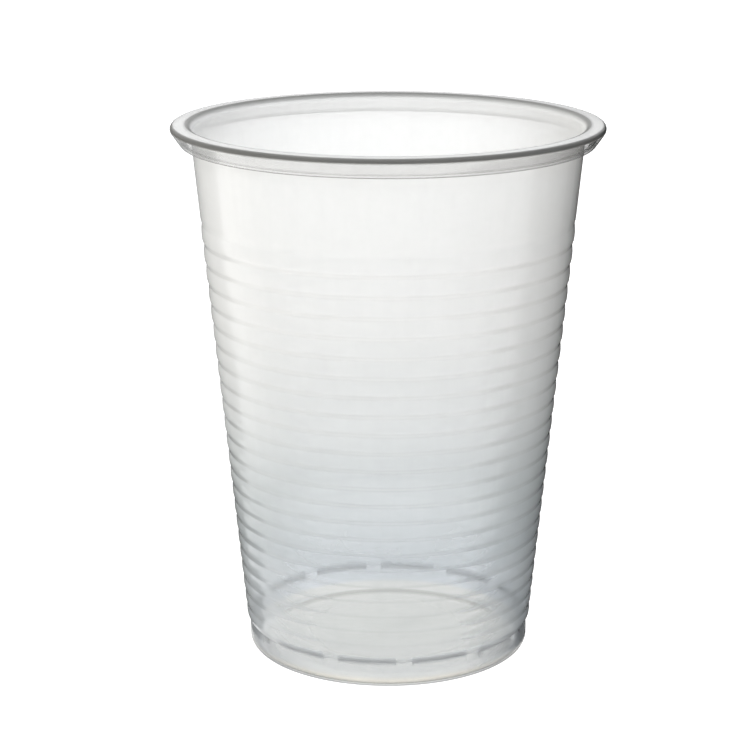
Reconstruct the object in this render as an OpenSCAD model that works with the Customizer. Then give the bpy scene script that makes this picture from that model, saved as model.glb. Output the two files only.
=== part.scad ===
// Disposable drinking cup, formed from one thin sheet of translucent plastic.
// The origin is at the centre of the base on the standing plane, and +Z points up.
// The section is drawn as the sheet's middle line with its thickness, then turned once.
// The parting ring above the base is broken into segments, so that stacked cups come apart.

/* [Cup] */
// Height from the standing plane to the top of the rim
cup_h = 88.5; // [80:0.5:100]
// Outer diameter of the curled rim
rim_d = 70.3; // [69:0.1:74]
// Diameter of the wall where the ribs begin, just above the base
body_d = 47.5; // [46.8:0.1:49]

/* [Sheet] */
// Thickness of the ribbed wall
wall_t = 0.22; // [0.2:0.01:0.3]
// Thickness of the floor and the base
floor_t = 0.34; // [0.3:0.01:0.45]
// Thickness of the curled rim
rim_t = 0.4; // [0.35:0.01:0.45]

/* [Ribs] */
// Number of steps above the shoulder
rib_count = 23; // [12:1:26]
// Pitch at the top of the ribs over the pitch at the bottom
pitch_ratio = 1.36; // [1:0.01:1.5]
// Height of the slope between one rib and the next
step_h = 0.9; // [0.6:0.05:1.1]
// How far the middle of a rib stands out from its two ends
rib_bulge = 0.07; // [0.02:0.01:0.12]
// Height of the plain band and the rim above the ribs
plain_h = 15.6; // [12:0.1:20]

/* [Rim] */
// How far the rim reaches out past the line of the wall
rim_reach = 3.1; // [2.9:0.05:3.5]
// Height of the curl from the top of the rim to its lip
curl_h = 3.35; // [3.1:0.05:3.8]
// Radius where the wall turns out into the rim
flare_r = 1; // [0.7:0.05:1.2]
// Radius of the rim's outer top edge
corner_r = 0.7; // [0.65:0.05:0.9]
// Radius of the rolled lip
lip_r = 0.7; // [0.6:0.05:0.8]
// Angle at which the curl leans in from upright, in degrees
curl_lean = 35; // [15:1:38]

/* [Base] */
// Diameter of the base band above its rounded lower edge
base_d = 46.8; // [46:0.1:47]
// Height of the shoulder above the standing plane
shoulder_z = 5; // [4.6:0.05:6]
// How far the base band is set in below the shoulder
shoulder_in = 0.32; // [0.2:0.01:0.4]
// Radius of the rounded lower edge
base_r = 1.6; // [1.4:0.1:2.2]
// Width of the flat ring that the cup stands on
stand_w = 0.8; // [0.6:0.1:1.5]
// How far the floor is raised above the standing plane
floor_rise = 1; // [0.8:0.1:1.4]

/* [Stacking ring] */
// Number of segments round the base
ring_count = 12; // [8:1:16]
// Angle of the gap between two segments, in degrees
ring_gap = 7; // [4:0.5:14]
// Angle of the first gap's middle from +X, in degrees
ring_turn = 6.4; // [0:0.1:30]
// Depth of the undercut below the shoulder
ring_depth = 0.34; // [0.2:0.01:0.4]
// Height of the undercut
ring_h = 1.35; // [1:0.05:1.6]

/* [Hidden] */
$fn = 120;
// Straight runs that make up the bow of one rib
rib_facets = 3;
// Largest step along an arc of the section, in degrees
arc_step = 15;

// The wall's outer line: its radius at the shoulder and how much it gains for each millimetre up
wall_gain = (rim_d / 2 - rim_reach - body_d / 2) / (cup_h - shoulder_z);
taper = atan(wall_gain);
function wall_r(z) = body_d / 2 + wall_gain * (z - shoulder_z);

// Heights of the steps: the pitch grows evenly from the shoulder up to the plain band
rib_zone = cup_h - plain_h - shoulder_z;
pitch_low = 2 * rib_zone / (rib_count * (1 + pitch_ratio));
pitch_gain = pitch_low * (pitch_ratio - 1) / (rib_count - 1);
function step_z(k) = shoulder_z + k * pitch_low + pitch_gain * k * (k - 1) / 2;

// Places of the rim's three bends, for the sheet's middle line
rim_z = cup_h - rim_t / 2;
flare_m = flare_r + rim_t / 2;
corner_m = corner_r - rim_t / 2;
lip_m = lip_r - rim_t / 2;
flare_z = rim_z - flare_m;
flare_x = wall_r(flare_z) - rim_t / 2 + flare_m / cos(taper);
corner_x = rim_d / 2 - corner_r;
corner_z = cup_h - corner_r;
lip_z = cup_h - curl_h + lip_r;
curl_len = (corner_z - lip_z - (corner_m - lip_m) * sin(curl_lean)) / cos(curl_lean);
lip_x = corner_x + (corner_m - lip_m) * cos(curl_lean) - curl_len * sin(curl_lean);
lip_end = -160;

// Places of the base's bends, for the sheet's middle line
base_m = base_r - floor_t / 2;
base_x = base_d / 2 - base_r;
foot_m = 0.5;
foot_turn = 50;
foot_run = 2 * foot_m * sin(foot_turn) + (floor_rise - 2 * foot_m * (1 - cos(foot_turn))) / tan(foot_turn);
foot_x = base_x - stand_w;
under_r = wall_r(shoulder_z) - shoulder_in;
under_z = shoulder_z - step_h / 2;

// Angle of one segment of the stacking ring
ring_angle = 360 / ring_count - ring_gap;

// Points of an arc of the middle line, each with the sheet's thickness there
function arc(x, z, r, from, to, t) =
    let (n = ceil(abs(to - from) / arc_step))
    [for (i = [0:n]) let (a = from + (to - from) * i / n) [x + r * cos(a), z + r * sin(a), t]];

// The raised floor and the ramp down to the standing ring
function floor_line() = concat(
    [[0, floor_rise + floor_t / 2, floor_t]],
    arc(foot_x - foot_run, floor_rise + floor_t / 2 - foot_m, foot_m, 90, 90 - foot_turn, floor_t),
    arc(foot_x, floor_t / 2 + foot_m, foot_m, 270 - foot_turn, 270, floor_t)
);

// The rounded lower edge and the base band up to the shoulder
function base_line() = concat(
    arc(base_x, base_r, base_m, -90, -taper, floor_t),
    [[under_r - wall_t / 2, under_z, wall_t]]
);

// One rib: upright on the whole and bowed out a little between its two steps
function rib_line(k) =
    let (
        low = step_z(k) + step_h / 2,
        high = step_z(k + 1) - step_h / 2,
        r = wall_r((low + high) / 2) - wall_t / 2
    )
    [for (i = [0:rib_facets]) let (u = i / rib_facets)
        [r + rib_bulge * (1 - pow(2 * u - 1, 2)), low + (high - low) * u, wall_t]];

// The plain band, which gets thicker towards the rim
function plain_line() =
    let (low = step_z(rib_count) + step_h / 2)
    [[wall_r(low) - wall_t / 2, low, wall_t]];

// The rim: out over the flare, down at the outer edge, and in under itself at the lip
function rim_line() = concat(
    arc(flare_x, flare_z, flare_m, 180 - taper, 90, rim_t),
    arc(corner_x, corner_z, corner_m, 90, -curl_lean, rim_t),
    arc(lip_x, lip_z, lip_m, -curl_lean, lip_end, rim_t)
);

sheet_line = concat(
    floor_line(),
    base_line(),
    [for (k = [0:rib_count - 1]) each rib_line(k)],
    plain_line(),
    rim_line()
);

// A point moved off the middle line to one face of the sheet, along the bisector of its two runs
function unit(v) = v / norm(v);
function run_at(line, i) = unit([line[i + 1].x - line[i].x, line[i + 1].y - line[i].y]);
function face_point(line, i, side) =
    let (
        last = len(line) - 1,
        a = run_at(line, max(i - 1, 0)),
        b = run_at(line, min(i, last - 1)),
        mid = unit(a + b),
        off = side * line[i].z / 2 / (mid * a)
    )
    [line[i].x + off * mid.y, line[i].y - off * mid.x];

module sheet(line) {
    last = len(line) - 1;
    outer = [for (i = [0:last]) face_point(line, i, 1)];
    inner = [for (i = [last:-1:0]) face_point(line, i, -1)];
    polygon(concat(outer, inner));
}

// Section of the undercut: a ramp that leads in through the band's face, below a flat ledge
module undercut(shift, ledge) {
    deep_r = under_r - ring_depth;
    low_z = under_z - ring_h;
    low_r = base_d / 2 + (under_r - base_d / 2) * (low_z - base_r) / (under_z - base_r);
    run_out = 0.3;
    polygon([
        [low_r + (low_r - deep_r) * run_out - shift, low_z - ring_h * run_out],
        [deep_r - shift, under_z],
        [deep_r - shift, under_z + ledge],
        [under_r + shoulder_in, under_z + ledge],
        [under_r + shoulder_in, low_z - ring_h * run_out]
    ]);
}

// A segment of the ring, widened at both ends by a distance along the wall
module ring_segment(widen) {
    sweep = ring_angle + 2 * widen / under_r * 180 / PI;
    rotate([0, 0, -sweep / 2])
        rotate_extrude(angle = sweep)
            children();
}

module each_segment() {
    for (i = [0:ring_count - 1])
        rotate([0, 0, ring_turn + (i + 0.5) * 360 / ring_count])
            children();
}

// The ridge inside the wall behind a segment, kept within the wall's outer face
module ridge() {
    intersection() {
        undercut(wall_t, wall_t);
        polygon([
            [0, 0],
            [base_d / 2 - wall_t / 2, base_r],
            [under_r - wall_t / 2, under_z],
            [wall_r(step_z(0) + step_h) - wall_t, under_z + step_h],
            [0, under_z + step_h]
        ]);
    }
}

module cup() {
    color([0.92, 0.94, 0.93, 0.55])
        difference() {
            union() {
                rotate_extrude() sheet(sheet_line);
                each_segment() ring_segment(wall_t) ridge();
            }
            each_segment() ring_segment(0) undercut(0, 0);
        }
}

cup();
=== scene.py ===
"""Looks of a disposable drinking cup, formed from one thin sheet of translucent plastic.

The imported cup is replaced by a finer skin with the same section: stepped ribs with soft
bends, a curled rim, and a stacking ring broken into segments above the base.
"""
from math import radians

import bmesh
import bpy
import numpy as np
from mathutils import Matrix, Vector


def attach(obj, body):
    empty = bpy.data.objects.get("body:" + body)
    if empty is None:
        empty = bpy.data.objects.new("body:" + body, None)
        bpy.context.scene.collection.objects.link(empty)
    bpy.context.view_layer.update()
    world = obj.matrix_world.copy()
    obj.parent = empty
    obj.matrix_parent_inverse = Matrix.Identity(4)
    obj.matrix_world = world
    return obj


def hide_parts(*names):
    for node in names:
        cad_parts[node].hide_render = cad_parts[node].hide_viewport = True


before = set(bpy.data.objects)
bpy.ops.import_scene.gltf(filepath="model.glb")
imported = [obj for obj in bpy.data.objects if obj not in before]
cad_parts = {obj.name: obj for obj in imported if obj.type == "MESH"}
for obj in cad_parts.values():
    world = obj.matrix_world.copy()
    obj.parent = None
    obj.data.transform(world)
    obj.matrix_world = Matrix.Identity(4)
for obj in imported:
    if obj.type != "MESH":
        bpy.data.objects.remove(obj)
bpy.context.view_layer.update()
MM = 0.001

# Sizes of the cup in millimetres and degrees, as in the part's source
CUP_H, RIM_D, BODY_D = 88.5, 70.3, 47.5
WALL_T, FLOOR_T, RIM_T = 0.22, 0.34, 0.4
RIBS, PITCH_RATIO, STEP_H, PLAIN_H = 23, 1.36, 0.9, 15.6
RIM_REACH, CURL_H, FLARE_R, CORNER_R = 3.1, 3.35, 1.0, 0.7
LIP_R, CURL_LEAN = 0.7, 35.0
BASE_D, SHOULDER_Z, SHOULDER_IN, BASE_R = 46.8, 5.0, 0.32, 1.6
STAND_W, FLOOR_RISE, FOOT_R, FOOT_TURN = 0.8, 1.0, 0.5, 50.0
SEGMENTS, GAP, TURN, RING_DEPTH, RING_H = 12, 7.0, 6.4, 0.34, 1.35

# Lines of the section that follow from the sizes
WALL_GAIN = (RIM_D / 2 - RIM_REACH - BODY_D / 2) / (CUP_H - SHOULDER_Z)
TAPER = np.degrees(np.arctan(WALL_GAIN))
RIB_ZONE = CUP_H - PLAIN_H - SHOULDER_Z
PITCH_LOW = 2 * RIB_ZONE / (RIBS * (1 + PITCH_RATIO))
PITCH_GAIN = PITCH_LOW * (PITCH_RATIO - 1) / (RIBS - 1)
UNDER_Z = SHOULDER_Z - STEP_H / 2
UNDER_R = BODY_D / 2 - SHOULDER_IN

# Shape that only the skin has: bows, waves, and the fine forms of the stacking ring
RIB_BOW = 0.09
FLOOR_WAVE, FLOOR_WAVE_RATE, FLOOR_ROWS, FLOOR_MARGIN = 0.05, 0.55, 10, 0.8
OVAL, OVAL_TURN = 0.035, 0.7
LOBES, LOBE_COUNT, LOBE_TWIST = 0.012, 5, 3.1
NARROWER, ROUND_WITHIN = 0.01, 2.0
LEDGE_RISE, LEDGE_OUT, RIDGE_RISE = 0.03, 0.02, 0.05
# A row belongs to the stacking ring within this height of its ledge, and this far in from its face
RING_NEAR, RING_IN = 0.5, 1.2
# Angles in degrees: half the width of a segment's end, two rows beside a gap, and the steps of an arc
SEGMENT_END, BESIDE_GAP, ARC_STEP = 0.5, (7.0, 11.0), 10
SHARP_FROM_DEG, WELD = 38, 0.004

# Marks: painted shade at a bend, from 0 to 1, that makes the sheet look darker and denser there
STEP_MARK, LOWEST_SHARE, SHARE_GAIN = 0.11, 0.5, 1 / 16
RAMP_MARKS = (0.04, 0.06)
RIDGE_MARK = 0.6
LEDGE_MARK, GAP_SHARE = 0.52, 0.58
END_MARK = 0.35

# Bends of the rim: the angle of each row with its mark of painted shade, and for the flat top its place
# along it
FLARE_ROWS = ((162, 0.0), (149, 0.12), (136, 0.45), (124, 0.75), (112, 0.85), (100, 0.85), (90, 0.45))
FLAT_ROWS = ((0.2, 0.1), (0.4, 0.0), (0.7, 0.0))
CORNER_ROWS = (
    (90, 0.0), (78, 0.25), (66, 0.8), (45, 0.95), (30, 0.95), (15, 0.95),
    (2, 0.95), (-10, 0.8), (-20, 0.35), (-30, 0.0), (-CURL_LEAN, 0.0))
LIP_ROWS = (
    (-CURL_LEAN, 0.0), (-43, 0.25), (-52, 0.8), (-64, 1.0),
    (-78, 0.9), (-100, 0.3), (-130, 0.0), (-160, 0.0))

# Parts of the sheet that are clearer or denser than the wall
CURL_VEIL, RIM_TOP_VEIL, FLARE_VEIL, FLOOR_EDGE_VEIL = 0.18, 0.8, 1.15, 0.3
FLOOR_VEIL, FLOOR_VEIL_GAIN = 0.75, 0.3
# Where those parts are: depths below the top of the rim, radii, and the height of the floor
CURL_DEPTH, FLARE_DEPTH = CURL_H + 0.2, CURL_H + 0.3
CORNER_DEPTH, RIM_TOP_DEPTH = CORNER_R + 0.1, RIM_T + 0.05
CURL_FROM_R, GLOSSY_FROM_R = RIM_D / 2 - RIM_REACH + 0.3, RIM_D / 2 - RIM_REACH + 0.2
FLOOR_TOP, FLOOR_R, FLOOR_FADE_R, STAND_R = FLOOR_RISE + FLOOR_T + 0.1, 19.0, 20.0, 22.4
# Painted shade: the lower edge and the base band darken where they are seen at a slant, the lower edge for
# the table's shadow
EDGE_SHADE_TOP, EDGE_SHADE_FADE, BAND_SHADE = 1.5, 0.5, 0.5
BAND_FROM_R = BASE_D / 2 - FLOOR_T - 0.6
# The inside of the wall is duller than the outside
INSIDE_SHEEN = 0.15

# The material's values by what they follow: the range of the cause, and the range it gives
HAZE_BY_HEIGHT = (0.10, 0.45), (0.17, 0.41)
HAZE_BY_SLANT = (0.2, 0.9), (0.0, 0.42)
HAZE_BY_CLOUDS = (0.3, 0.7), (-0.025, 0.025)
HAZE_BY_STREAKS = (0.3, 0.7), (-0.008, 0.008)
HAZE_BY_BEND = (0.0, 1.0), (0.0, 0.64)
DARK_BY_MARK = (0.0, 1.0), (0.0, 0.9)
SHADE_BY_SLANT = (0.2, 0.75), (0.0, 1.0)
SHINE_BY_SLANT = (0.0, 1.0), (0.04, 1.0)
SHINE_BY_MARK = (0.0, 1.0), (1.0, 0.35)
ROUGHNESS_BY_CLOUDS = (0.3, 0.7), (0.12, 0.18)
SLANT_POWER = 4.0
LIT_THROUGH = 0.42
CLOUDS = {"Scale": 70.0, "Detail": 4.0, "Roughness": 0.6}
STREAKS = {"Scale": 320.0, "Detail": 3.0, "Roughness": 0.55}
STREAK_STRETCH = (1.0, 1.0, 0.08)
RIPPLE = {"Strength": 0.035, "Distance": 0.0002}
# Painted shade: the dark colour that the bend marks turn the sheet towards
PAINTED_BEND_SHADE = (0.06, 0.057, 0.048, 1.0)
# Painted shade: the colour seen through the sheet at the lower edge and the base band
SHADED_PANE = (0.72, 0.735, 0.75, 1.0)
# Colours of the milk and of what is seen through the sheet, by fraction of the cup's height, with painted
# shade: both are darker in the lower half, above a cream foot that stands for the table seen through it
MILK_AND_PAINTED_SHADE = (
    (0.000, (0.93, 0.92, 0.88)), (0.016, (0.93, 0.92, 0.88)), (0.022, (0.76, 0.79, 0.84)),
    (0.070, (0.775, 0.80, 0.83)), (0.230, (0.705, 0.73, 0.75)), (0.350, (0.79, 0.813, 0.823)),
    (0.500, (0.925, 0.93, 0.932)), (0.700, (0.985, 0.98, 0.975)))
PANE_AND_PAINTED_SHADE = (
    (0.000, (0.94, 0.93, 0.905)), (0.016, (0.94, 0.93, 0.905)), (0.022, (0.892, 0.904, 0.919)),
    (0.060, (0.895, 0.907, 0.92)), (0.100, (0.925, 0.938, 0.948)), (0.195, (0.972, 0.982, 0.988)),
    (0.250, (0.902, 0.917, 0.924)), (0.350, (0.947, 0.953, 0.957)),
    (0.500, (0.972, 0.972, 0.972)), (0.700, (0.98, 0.979, 0.978)))

# The table as the cup is lit by it, and as it is seen: a white glow that shadows can still darken
FLOOR_HALF = 3.0
TABLE_COLOUR = (0.61, 0.59, 0.55, 1.0)
SEEN_COLOUR, SEEN_GLOW = (0.3, 0.3, 0.3, 1.0), 1.0
WHITE = (1.0, 1.0, 1.0, 1.0)
# The room's light from the left (0) to the right (1), and its strength by depth and by height
ROOM = (
    (0.00, (0.17, 0.17, 0.16)), (0.25, (0.46, 0.46, 0.44)), (0.43, (1.0, 1.0, 0.99)),
    (0.50, (0.81, 0.83, 0.855)), (0.56, (0.28, 0.33, 0.385)), (0.66, (0.022, 0.033, 0.048)),
    (1.00, (0.008, 0.011, 0.014)))
ROOM_BY_DEPTH = (-1.0, 1.0), (3.5, 3.2)
ROOM_BY_HEIGHT = (0.1, 1.0), (1.0, 0.8)


def wall_r(z):
    """Radius of the wall's outer line at a height."""
    return BODY_D / 2 + WALL_GAIN * (z - SHOULDER_Z)


def step_z(k):
    """Height of the middle of a step."""
    return SHOULDER_Z + k * PITCH_LOW + PITCH_GAIN * k * (k - 1) / 2


def arc(x, z, r, t, rows):
    """An arc of the sheet's middle line: radius, height, thickness and mark at each of its angles."""
    out = []
    for deg, mark in rows:
        a = np.radians(deg)
        out.append((x + r * np.cos(a), z + r * np.sin(a), t, mark))
    return out


def soft_arc(x, z, r, start, end, mark):
    """An arc of the floor's middle line in even steps, with the mark strongest in its middle."""
    steps = int(np.ceil(abs(end - start) / ARC_STEP))
    rows = []
    for i in range(steps + 1):
        rows.append((start + (end - start) * i / steps, mark * np.sin(np.pi * i / steps)))
    return arc(x, z, r, FLOOR_T, rows)


def floor_line():
    """The raised floor and the ramp down to the ring that the cup stands on."""
    foot_x = BASE_D / 2 - BASE_R - STAND_W
    turn = np.radians(FOOT_TURN)
    rise = FLOOR_RISE - 2 * FOOT_R * (1 - np.cos(turn))
    run = 2 * FOOT_R * np.sin(turn) + rise / np.tan(turn)
    top = FLOOR_RISE + FLOOR_T / 2
    flat = []
    for r in np.linspace(0, foot_x - run - FLOOR_MARGIN, FLOOR_ROWS):
        flat.append((r, top + FLOOR_WAVE * np.sin(r * FLOOR_WAVE_RATE), FLOOR_T, 0.0))
    upper = soft_arc(foot_x - run, top - FOOT_R, FOOT_R, 90, 90 - FOOT_TURN, RAMP_MARKS[0])
    lower = soft_arc(foot_x, FLOOR_T / 2 + FOOT_R, FOOT_R, 270 - FOOT_TURN, 270, RAMP_MARKS[1])
    return flat + upper + lower


def base_line():
    """The rounded lower edge and the base band up to the ledge."""
    rows = [(deg, 0.0) for deg in (-90, -80, -68, -56, -44, -33, -22, -12, -TAPER)]
    edge = arc(BASE_D / 2 - BASE_R, BASE_R, BASE_R - FLOOR_T / 2, FLOOR_T, rows)
    low_r = BASE_D / 2 - FLOOR_T / 2
    top_r = UNDER_R - WALL_T / 2
    band = []
    for u, mark in ((0.25, 0), (0.45, 0), (0.6, 0), (0.75, 0), (0.88, RIDGE_MARK), (1.0, RIDGE_MARK)):
        z = BASE_R + (UNDER_Z - BASE_R) * u
        band.append((low_r + (top_r - low_r) * u, z, FLOOR_T + (WALL_T - FLOOR_T) * u, mark))
    return edge + band


def rib_line(k):
    """One rib, with the slope below it that rounds off into the ribs at both of its ends."""
    low = step_z(k) + STEP_H / 2
    high = step_z(k + 1) - STEP_H / 2
    r = wall_r((low + high) / 2) - WALL_T / 2
    out = []
    if k > 0:
        below = wall_r((step_z(k - 1) + step_z(k)) / 2) - WALL_T / 2
        line = STEP_MARK * min(1, LOWEST_SHARE + k * SHARE_GAIN)
        for u, mark in ((0.22, 0.0), (0.42, line), (0.58, line), (0.78, 0.0)):
            out.append((below + (r - below) * u, step_z(k) + STEP_H * (u - 0.5), WALL_T, mark))
    for u in (0.0, 0.12, 0.32, 0.5, 0.68, 0.88, 1.0):
        bow = RIB_BOW * (1 - (2 * u - 1) ** 2)
        out.append((r + bow, low + (high - low) * u, WALL_T, 0.0))
    return out


def plain_line():
    """The plain band, which gets thicker towards the rim."""
    low = step_z(RIBS) + STEP_H / 2
    top = CUP_H - RIM_T / 2 - FLARE_R - RIM_T / 2
    out = []
    for u in (0.0, 0.06, 0.25, 0.5, 0.75, 0.93):
        z = low + (top - low) * u
        t = WALL_T + (RIM_T - WALL_T) * u ** 3
        out.append((wall_r(z) - t / 2, z, t, 0.0))
    return out


def rim_line():
    """The rim: out over the flare, flat on top, down at the corner, and in under itself at the lip."""
    rim_z = CUP_H - RIM_T / 2
    flare_m = FLARE_R + RIM_T / 2
    corner_m = CORNER_R - RIM_T / 2
    lip_m = LIP_R - RIM_T / 2
    flare_z = rim_z - flare_m
    flare_x = wall_r(flare_z) - RIM_T / 2 + flare_m / np.cos(np.radians(TAPER))
    corner_x = RIM_D / 2 - CORNER_R
    corner_z = CUP_H - CORNER_R
    lip_z = CUP_H - CURL_H + LIP_R
    lean = np.radians(CURL_LEAN)
    run = (corner_z - lip_z - (corner_m - lip_m) * np.sin(lean)) / np.cos(lean)
    lip_x = corner_x + (corner_m - lip_m) * np.cos(lean) - run * np.sin(lean)
    flare = arc(flare_x, flare_z, flare_m, RIM_T, ((180 - TAPER, 0.0), *FLARE_ROWS))
    flat = [(flare_x + (corner_x - flare_x) * u, rim_z, RIM_T, mark) for u, mark in FLAT_ROWS]
    corner = arc(corner_x, corner_z, corner_m, RIM_T, CORNER_ROWS)
    lip = arc(lip_x, lip_z, lip_m, RIM_T, LIP_ROWS)
    return flare + flat + corner + lip


def sheet_line():
    """The sheet's middle line from the middle of the floor to the lip."""
    ribs = [p for k in range(RIBS) for p in rib_line(k)]
    return np.array(floor_line() + base_line() + ribs + plain_line() + rim_line())


def faces_of(line):
    """The two faces of the sheet: its middle line moved off by half its thickness to either side."""
    rz = line[:, :2]
    run = np.diff(rz, axis=0)
    run /= np.linalg.norm(run, axis=1)[:, None]
    before = np.vstack([run[:1], run])
    after = np.vstack([run, run[-1:]])
    mid = before + after
    mid /= np.linalg.norm(mid, axis=1)[:, None]
    off = line[:, 2] / 2 / (mid * before).sum(1)
    side = np.stack([mid[:, 1], -mid[:, 0]], 1)
    outer = rz + side * off[:, None]
    inner = rz - side * off[:, None]
    inner[0, 0] = outer[0, 0] = 0.0
    return outer, inner


def undercut(r, z, top):
    """How deep a segment is cut in at a point: nothing at its foot and all of it at its top."""
    if z > top or r < UNDER_R - RING_IN:
        return 0.0
    return RING_DEPTH * np.clip((z - UNDER_Z + RING_H) / RING_H, 0, 1)


def closed_section(line):
    """Rows of the skin, up the outer face and down the inner one, and how many of them are outside.

    A row holds its radius, its height, how deep a segment is cut in there, and its mark.
    """
    outer, inner = faces_of(line)
    mark = line[:, 3]
    # the ledge above the undercut starts at a second point on the outer face
    ledge = int(np.argmin(np.abs(outer[:, 1] - UNDER_Z)))
    section = []
    for i, ((r, z), m) in enumerate(zip(outer, mark)):
        cut = undercut(r, z, UNDER_Z + LEDGE_RISE)
        section.append((r, z, cut, 0.0 if abs(z - UNDER_Z) < RING_NEAR else m))
        if i == ledge:
            section.append((r, z, cut, LEDGE_MARK))
            section.append((r + LEDGE_OUT, z + LEDGE_RISE, 0.0, LEDGE_MARK))
    for (r, z), m in zip(inner[::-1], mark[::-1]):
        section.append((r, z, undercut(r, z, UNDER_Z + WALL_T + RIDGE_RISE), m))
    return np.array(section), len(outer) + 2


def angles():
    """Angles round the cup, closer together at the ends of the ring's segments."""
    half = GAP / 2
    pitch = 360 / SEGMENTS
    offs = (0.0, half - SEGMENT_END, half, half + SEGMENT_END, *BESIDE_GAP)
    out = []
    for k in range(SEGMENTS):
        middle = TURN + k * pitch
        out += [middle + o for o in offs]
        out += [middle + pitch - o for o in offs[:0:-1]]
        out.append(middle + pitch / 2)
    return np.sort(np.array(out))


def segment_mask(deg):
    """1 along a segment of the stacking ring, 0 in a gap, with a short ramp between."""
    pitch = 360 / SEGMENTS
    away = np.abs((deg - TURN + pitch / 2) % pitch - pitch / 2)
    return np.clip((away - (GAP / 2 - SEGMENT_END)) / (2 * SEGMENT_END), 0, 1)


def out_of_round(rad, high):
    """How far the wall is from a true circle: a little oval, with faint lobes that twist, and narrower."""
    oval = OVAL * (np.cos(2 * rad + OVAL_TURN) - 1) * high ** 2
    lobes = LOBES * (np.cos(LOBE_COUNT * rad + LOBE_TWIST * high) - 1) * high
    return oval + (lobes - NARROWER * high)


def bend_marks(z, cut, mark, mask, outside):
    """Painted shade marks of all points: the ledge's line is fainter in a gap, and the ridge's line isn't
    there.
    """
    painted_shade = np.tile(mark, (len(mask), 1))
    ring = (np.abs(z - UNDER_Z) < RING_NEAR) & (mark > 0)
    painted_shade[:, ring & outside] *= (GAP_SHARE + (1 - GAP_SHARE) * mask)[:, None]
    painted_shade[:, ring & ~outside] *= mask[:, None]
    # the end wall of a segment gets a short upright line of painted shade
    end_wall = 1 - np.abs(2 * mask - 1)
    return painted_shade + END_MARK * end_wall[:, None] * cut / RING_DEPTH


def veil_of(r, z):
    """How much of the wall's haze each row has."""
    from_top = CUP_H - z
    curl = r > CURL_FROM_R
    veil = np.where((from_top < CURL_DEPTH) & (from_top > CORNER_DEPTH) & curl, CURL_VEIL, 1.0)
    veil = np.where((from_top < RIM_TOP_DEPTH) & curl, RIM_TOP_VEIL, veil)
    veil = np.where((from_top < FLARE_DEPTH) & (from_top > FLARE_R) & ~curl, FLARE_VEIL, veil)
    floor = FLOOR_VEIL + FLOOR_VEIL_GAIN * np.cos(np.pi * np.clip(r / FLOOR_FADE_R, 0, 1))
    floor = np.where(r > FLOOR_R, FLOOR_EDGE_VEIL, floor)
    return np.where((z < FLOOR_TOP) & (r < STAND_R), floor, veil)


def shade_of(r, z):
    """How much painted shade each row takes: the shadow of the table that the cup stands on at the lower
    edge, and a lighter one on the base band.
    """
    edge = np.clip((EDGE_SHADE_TOP - z) / EDGE_SHADE_FADE, 0, 1) * (r > BASE_D / 2 - BASE_R)
    band = (z < UNDER_Z) & (r > BAND_FROM_R)
    return np.maximum(edge, BAND_SHADE * band)


def sheen_of(r, z, outside):
    """How much of the gloss each row has: all of it on the rim and outside, except under the floor."""
    curl = (CUP_H - z < CURL_DEPTH) & (r > GLOSSY_FROM_R)
    under_floor = (r < FLOOR_FADE_R) & (z < FLOOR_RISE + FLOOR_T)
    return np.where((outside & ~under_floor) | curl, 1.0, INSIDE_SHEEN)


def add_object(name, data):
    obj = bpy.data.objects.new(name, data)
    bpy.context.collection.objects.link(obj)
    return obj


def build_skin():
    """The cup's closed skin: its section turned round the axis, with the ring's segments cut in."""
    section, outside_rows = closed_section(sheet_line())
    row_r, row_z, row_cut, row_mark = section.T
    rows = len(section)
    outside = np.arange(rows) < outside_rows
    deg = angles()
    mask = segment_mask(deg)
    rad = np.radians(deg)[:, None]
    r = row_r - row_cut * mask[:, None]
    r = np.maximum(r + np.where(row_r > ROUND_WITHIN, out_of_round(rad, row_z / CUP_H), 0.0), 0.0)
    z = np.broadcast_to(row_z, r.shape)
    verts = np.stack([r * np.cos(rad), r * np.sin(rad), z], -1).reshape(-1, 3) * MM
    here = np.arange(len(deg))[:, None] * rows + np.arange(rows - 1)
    there = np.roll(here, -1, axis=0)
    quads = np.stack([here, there, there + 1, here + 1], -1).reshape(-1, 4)
    mesh = bpy.data.meshes.new("cup_skin")
    mesh.from_pydata(verts.tolist(), [], quads.tolist())
    for name, values in (
            ("bend", bend_marks(row_z, row_cut, row_mark, mask, outside)),
            ("veil", veil_of(row_r, row_z)),
            ("shade", shade_of(row_r, row_z)),
            ("sheen", sheen_of(row_r, row_z, outside))):
        layer = mesh.attributes.new(name, "FLOAT", "POINT")
        layer.data.foreach_set("value", np.broadcast_to(values, r.shape).reshape(-1).astype(np.float32))
    mesh.validate()
    return add_object("cup_skin", mesh)


def weld_and_smooth(obj):
    """Joins the points that meet at the axis and the lip, and keeps only sharp edges sharp."""
    bm = bmesh.new()
    bm.from_mesh(obj.data)
    bmesh.ops.remove_doubles(bm, verts=bm.verts, dist=WELD * MM)
    bmesh.ops.recalc_face_normals(bm, faces=bm.faces)
    for face in bm.faces:
        face.smooth = True
    for edge in bm.edges:
        if len(edge.link_faces) == 2 and edge.calc_face_angle(0) > radians(SHARP_FROM_DEG):
            edge.smooth = False
    bm.to_mesh(obj.data)
    bm.free()


def wire(nt, socket, value):
    """Feeds a socket from another node's output, or sets it to a plain value."""
    if isinstance(value, bpy.types.NodeSocket):
        nt.links.new(value, socket)
    else:
        socket.default_value = value


def node(nt, kind, **values):
    """A new node. Each value goes to the node's own setting of that name, or else to its socket."""
    made = nt.nodes.new(kind)
    for key, value in values.items():
        if hasattr(made, key):
            setattr(made, key, value)
        else:
            wire(nt, made.inputs[key.replace("_", " ")], value)
    return made


def attribute(nt, name):
    return node(nt, "ShaderNodeAttribute", attribute_name=name).outputs["Fac"]


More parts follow.
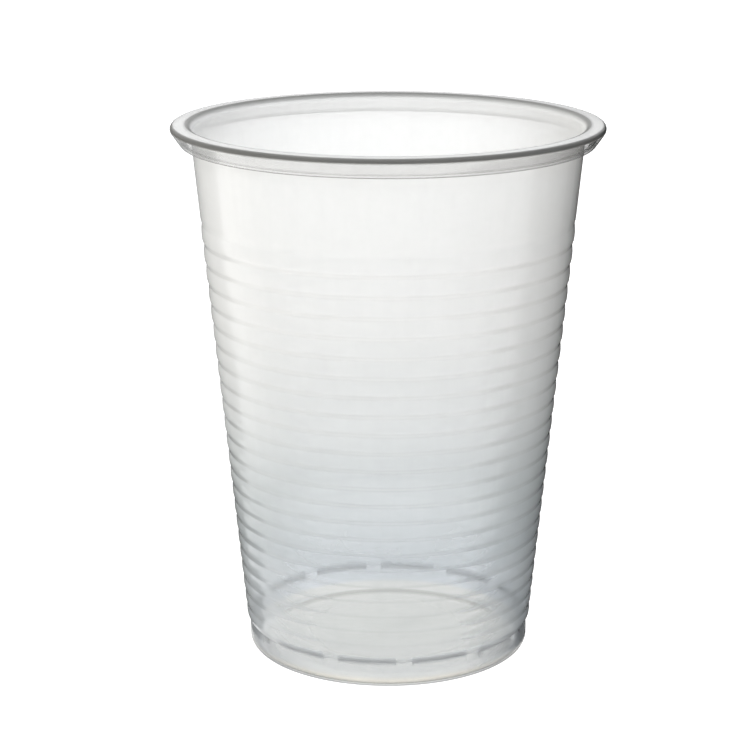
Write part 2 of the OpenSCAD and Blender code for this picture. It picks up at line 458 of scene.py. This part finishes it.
def map_range(nt, source, span, to_span):
    made = node(nt, "ShaderNodeMapRange", Value=source, From_Min=span[0], From_Max=span[1])
    made.inputs["To Min"].default_value, made.inputs["To Max"].default_value = to_span
    return made.outputs["Result"]


def calc(nt, operation, a, b):
    made = node(nt, "ShaderNodeMath", operation=operation)
    wire(nt, made.inputs[0], a)
    wire(nt, made.inputs[1], b)
    return made.outputs[0]


def ramp(nt, source, stops):
    made = node(nt, "ShaderNodeValToRGB", Fac=source)
    elements = made.color_ramp.elements
    while len(elements) < len(stops):
        elements.new(0.5)
    for element, (place, colour) in zip(elements, stops):
        element.position = place
        element.color = (*colour, 1.0)
    return made.outputs["Color"]


def mix_colours(nt, share, first, second):
    return node(nt, "ShaderNodeMix", data_type="RGBA", Factor=share, A=first, B=second).outputs["Result"]


def mix_shaders(nt, share, first, second):
    made = node(nt, "ShaderNodeMixShader", Fac=share)
    wire(nt, made.inputs[1], first)
    wire(nt, made.inputs[2], second)
    return made.outputs[0]


def empty_tree(holder):
    """The node tree of a material or a world, without the nodes that it starts with."""
    holder.use_nodes = True
    holder.node_tree.nodes.clear()
    return holder.node_tree


def plastic():
    """Milky, glossy sheet: clearer low down, denser and glossier at a slant, with painted shade at its
    bends, in its lower half and at its lower edge.
    """
    mat = bpy.data.materials.new("milky_sheet")
    nt = empty_tree(mat)
    coords = node(nt, "ShaderNodeTexCoord").outputs["Object"]
    z = node(nt, "ShaderNodeSeparateXYZ", Vector=coords).outputs["Z"]
    height = map_range(nt, z, (0.0, CUP_H * MM), (0.0, 1.0))
    facing = node(nt, "ShaderNodeLayerWeight", Blend=0.5).outputs["Facing"]
    clouds = node(nt, "ShaderNodeTexNoise", Vector=coords, **CLOUDS).outputs["Fac"]

    # drawn streaks: long up the wall, narrow round it
    drawn = node(nt, "ShaderNodeMapping", Vector=coords, Scale=STREAK_STRETCH).outputs[0]
    streaks = node(nt, "ShaderNodeTexNoise", Vector=drawn, **STREAKS).outputs["Fac"]
    ripple = node(nt, "ShaderNodeBump", Height=streaks, **RIPPLE).outputs["Normal"]

    # painted shade at the bends: the marks darken the colour and add haze
    bend = attribute(nt, "bend")
    # painted shade where the lower edge and the base band are seen at a slant
    painted_edge_shade = calc(nt, "MULTIPLY", attribute(nt, "shade"), map_range(nt, facing, *SHADE_BY_SLANT))
    painted_shade = calc(nt, "MAXIMUM", bend, painted_edge_shade)

    haze = map_range(nt, height, *HAZE_BY_HEIGHT)
    haze = calc(nt, "ADD", haze, map_range(nt, facing, *HAZE_BY_SLANT))
    haze = calc(nt, "MULTIPLY", haze, attribute(nt, "veil"))
    haze = calc(nt, "ADD", haze, map_range(nt, clouds, *HAZE_BY_CLOUDS))
    haze = calc(nt, "ADD", haze, map_range(nt, streaks, *HAZE_BY_STREAKS))
    haze = calc(nt, "ADD", haze, map_range(nt, bend, *HAZE_BY_BEND))

    shine = map_range(nt, calc(nt, "POWER", facing, SLANT_POWER), *SHINE_BY_SLANT)
    shine = calc(nt, "MULTIPLY", shine, map_range(nt, painted_shade, *SHINE_BY_MARK))
    shine = calc(nt, "MULTIPLY", shine, attribute(nt, "sheen"))
    roughness = map_range(nt, clouds, *ROUGHNESS_BY_CLOUDS)

    # painted shade: the milk is darker in the lower half, and the marks darken it more
    colour = mix_colours(nt, map_range(nt, painted_shade, *DARK_BY_MARK), ramp(nt, height, MILK_AND_PAINTED_SHADE), PAINTED_BEND_SHADE)
    face = node(nt, "ShaderNodeBsdfPrincipled", Specular_IOR_Level=0.0, Base_Color=colour,
                Roughness=roughness, Normal=ripple)
    through = node(nt, "ShaderNodeBsdfTranslucent", Color=colour)
    milk = mix_shaders(nt, LIT_THROUGH, face.outputs[0], through.outputs[0])
    # painted shade: what is seen through is darker in the lower half and at the lower edge
    pane = mix_colours(nt, painted_edge_shade, ramp(nt, height, PANE_AND_PAINTED_SHADE), SHADED_PANE)
    clear = node(nt, "ShaderNodeBsdfTransparent", Color=pane)
    sheet = mix_shaders(nt, calc(nt, "SUBTRACT", 1.0, haze), milk, clear.outputs[0])
    gloss = node(nt, "ShaderNodeBsdfGlossy", Roughness=roughness, Normal=ripple)
    node(nt, "ShaderNodeOutputMaterial", Surface=mix_shaders(nt, shine, sheet, gloss.outputs[0]))
    return mat


def seen_rays(nt):
    """1 for rays that look at the background: from the camera, or by way of gloss or see-through."""
    path = node(nt, "ShaderNodeLightPath")
    seen = calc(nt, "MAXIMUM", path.outputs["Is Camera Ray"], path.outputs["Is Glossy Ray"])
    return calc(nt, "MAXIMUM", seen, path.outputs["Is Transmission Ray"])


def stage_panel(name, corners, mat):
    """A rectangle of the stage, which is no part of the cup."""
    mesh = bpy.data.meshes.new(name)
    mesh.from_pydata(corners, [], [(0, 1, 2, 3)])
    mesh.materials.append(mat)
    obj = add_object(name, mesh)
    return obj


def stage_floor():
    """The table: it lights the cup as a warm grey one, and is seen as white with the cup's shadow on it."""
    mat = bpy.data.materials.new("floor")
    nt = empty_tree(mat)
    table = node(nt, "ShaderNodeBsdfDiffuse", Color=TABLE_COLOUR)
    white = node(nt, "ShaderNodeBsdfDiffuse", Color=SEEN_COLOUR)
    glow = node(nt, "ShaderNodeEmission", Strength=SEEN_GLOW)
    seen = node(nt, "ShaderNodeAddShader")
    wire(nt, seen.inputs[0], white.outputs[0])
    wire(nt, seen.inputs[1], glow.outputs[0])
    surface = mix_shaders(nt, seen_rays(nt), table.outputs[0], seen.outputs[0])
    node(nt, "ShaderNodeOutputMaterial", Surface=surface)
    side = FLOOR_HALF
    stage_panel("floor", [(-side, -side, 0), (side, -side, 0), (side, side, 0), (-side, side, 0)], mat)


def world_light():
    """Soft light: bright before and behind the cup, grey on its left and dark on its right."""
    world = bpy.data.worlds.new("world")
    bpy.context.scene.world = world
    nt = empty_tree(world)
    way = node(nt, "ShaderNodeTexCoord").outputs["Generated"]
    parts = node(nt, "ShaderNodeSeparateXYZ", Vector=way)
    across = map_range(nt, parts.outputs["X"], (-1.0, 1.0), (0.0, 1.0))
    depth = map_range(nt, parts.outputs["Y"], *ROOM_BY_DEPTH)
    above = map_range(nt, parts.outputs["Z"], *ROOM_BY_HEIGHT)
    room = node(nt, "ShaderNodeBackground", Color=ramp(nt, across, ROOM),
                Strength=calc(nt, "MULTIPLY", depth, above))
    white = node(nt, "ShaderNodeBackground", Color=WHITE, Strength=1.0)
    surface = mix_shaders(nt, seen_rays(nt), room.outputs[0], white.outputs[0])
    node(nt, "ShaderNodeOutputWorld", Surface=surface)


def lamp(name, place, aim, size, watts, colour, spread=180):
    """A small rectangular lamp that the camera doesn't see."""
    data = bpy.data.lights.new(name, "AREA")
    data.shape = "RECTANGLE"
    data.size, data.size_y = size
    data.energy = watts
    data.color = colour
    data.spread = radians(spread)
    obj = add_object(name, data)
    obj.location = place
    obj.rotation_euler = (Vector(aim) - Vector(place)).to_track_quat("-Z", "Y").to_euler()
    obj.visible_camera = False
    return obj


def card(name, place, size, turn, shade, flat=False):
    """A card beside the cup, upright or flat: it shows in the gloss, and the camera looks through it.

    An upright card also takes light away from the cup. A flat one doesn't.
    """
    mat = bpy.data.materials.new(name)
    mat.use_nodes = True
    surface = mat.node_tree.nodes["Principled BSDF"]
    surface.inputs["Base Color"].default_value = (shade, shade, shade, 1.0)
    surface.inputs["Specular IOR Level"].default_value = 0.0
    w, h = size[0] / 2, size[1] / 2
    obj = stage_panel(name, [(-w, 0, -h), (w, 0, -h), (w, 0, h), (-w, 0, h)], mat)
    obj.location = place
    obj.rotation_euler = (radians(90) if flat else 0, 0, radians(turn))
    obj.visible_camera = False
    if flat:
        obj.visible_shadow = False
        obj.visible_diffuse = False


def studio():
    """The lamps and the cards."""
    middle = (0.0, 0.0, 0.045)
    lamp("key", (-0.105, 0.002, 0.045), middle, size=(0.042, 0.085), watts=0.006, colour=(1.0, 0.985, 0.92))
    inside = lamp("inside", (0.035, -0.015, 0.15), aim=(-0.031, 0.002, 0.08), size=(0.02, 0.03),
                  watts=0.0028, colour=(1.0, 1.0, 0.98), spread=60)
    inside.visible_glossy = False
    lamp("top", (-0.05, 0.12, 0.8), middle, size=(0.5, 0.5), watts=1.2, colour=(1.0, 1.0, 1.0))
    card("right_card", (0.062, 0.018, 0.05), size=(0.075, 0.1), turn=88, shade=0.02)
    card("back_card", (0.052, 0.082, 0.048), size=(0.075, 0.096), turn=-35, shade=0.02)
    card("left_card", (-0.076, 0.076, 0.048), size=(0.11, 0.096), turn=31, shade=0.55)
    card("right_floor", (0.0798, 0.05, 0.0004), size=(0.1124, 0.16), turn=0, shade=0.03, flat=True)
    card("near_floor", (-0.04, 0.0128, 0.0004), size=(0.0342, 0.026), turn=-21, shade=0.12, flat=True)
    card("left_floor", (-0.0452, 0.0739, 0.0004), size=(0.1, 0.09), turn=-43, shade=0.12, flat=True)


def camera():
    """The photograph's view: fitted to the outline, the rib lines and the base ring."""
    back, up, pitch, focal = 0.3802, 0.1486, 15.1, 2374.0
    frame_px, sensor, centre_px = 752, 36.0, 388.2
    data = bpy.data.cameras.new("camera")
    data.sensor_width = sensor
    data.lens = focal / frame_px * sensor
    data.shift_x = -(centre_px - frame_px / 2) / frame_px
    data.clip_start = 0.01
    obj = add_object("camera", data)
    obj.location = (0.0, -back, up)
    obj.rotation_euler = (radians(90 - pitch), 0.0, 0.0)
    bpy.context.scene.camera = obj


camera()
world_light()
stage_floor()
studio()
bpy.context.scene.view_settings.view_transform = "Standard"

skin = build_skin()
weld_and_smooth(skin)
skin.data.materials.append(plastic())
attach(skin, "root")
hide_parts("cup")
